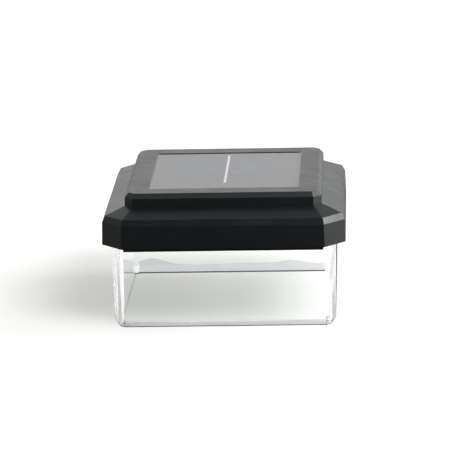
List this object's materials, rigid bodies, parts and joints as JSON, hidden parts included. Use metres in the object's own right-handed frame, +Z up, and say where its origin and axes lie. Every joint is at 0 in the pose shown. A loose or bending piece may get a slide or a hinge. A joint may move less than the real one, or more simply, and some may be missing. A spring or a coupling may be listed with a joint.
{
  "type": "solar post cap light",
  "caption": "Square solar light that caps a post: black moulded cap with a solar panel in its raised deck, and a clear skirt below that slips over the post's top.",
  "frame": {"origin": "centre of the clear skirt's foot, in the plane that it stands on", "axes": "+Z up along the post, -Y to the front of the light, +X to its right seen from behind the front face; the battery bay lies near the front and the switch near the back"},
  "size_m": [0.12, 0.12, 0.0667],
  "materials": {
    "cap_plastic": "fine satin grain, moulded black",
    "clear_plastic": "polished clear",
    "panel_resin": "clear gloss",
    "solar_silicon": "dark blue, satin",
    "tinned_copper": "bright tinned",
    "black_foam": "matt closed-cell foam",
    "backing_board": "grey laminate",
    "screw_steel": "zinc plated",
    "cell_can": "printed sleeve on a steel can",
    "contact_steel": "nickel plated",
    "board_green": "solder resist",
    "chip_black": "moulded epoxy",
    "ferrite": "sintered, matt",
    "winding_copper": "enamelled wire",
    "capacitor_can": "sleeved",
    "resistor_body": "printed film",
    "switch_steel": "tinned",
    "switch_knob": "satin",
    "lamp_white": "white case, yellow fill",
    "lead_black": "vinyl",
    "lead_red": "vinyl",
    "lead_white": "vinyl"
  },
  "bodies": {
    "housing": {"base_plate": "cap_plastic", "base_screws": "screw_steel", "battery_cell": "cell_can", "battery_lead_black": "lead_black", "battery_lead_red": "lead_red", "battery_plate": "contact_steel", "battery_spring": "contact_steel", "board_screws": "screw_steel", "capacitor": "capacitor_can", "cell_ribbon": "tinned_copper", "circuit_board": "board_green", "clear_skirt": "clear_plastic", "driver_chip": "chip_black", "inductor_core": "ferrite", "inductor_winding": "winding_copper", "lamp_boards": "board_green", "lamp_lead_front": "lead_white", "lamp_lead_left": "lead_white", "lamp_lead_rear": "lead_white", "lamp_lead_right": "lead_white", "lamps": "lamp_white", "panel_board": "backing_board", "panel_cover": "panel_resin", "panel_lead_black": "lead_black", "panel_lead_red": "lead_red", "panel_seal": "black_foam", "resistors": "resistor_body", "rim_seal_strips": "black_foam", "solar_cells": "solar_silicon", "switch_housing": "switch_steel", "switch_terminals": "tinned_copper", "top_cap": "cap_plastic"},
    "battery_door": {"battery_door": "cap_plastic"},
    "switch_slider": {"switch_slider": "switch_knob"}
  },
  "joints": [
    {"name": "battery_door_hinge", "type": "hinge", "parent": "housing", "child": "battery_door", "pos_m": [0, -0.0109, 0.0431], "axis": [1, 0, 0], "range_deg": [0, 95]},
    {"name": "power_switch_slide", "type": "slide", "parent": "housing", "child": "switch_slider", "axis": [1, 0, 0], "range_m": [0, 0.003]}
  ]
}
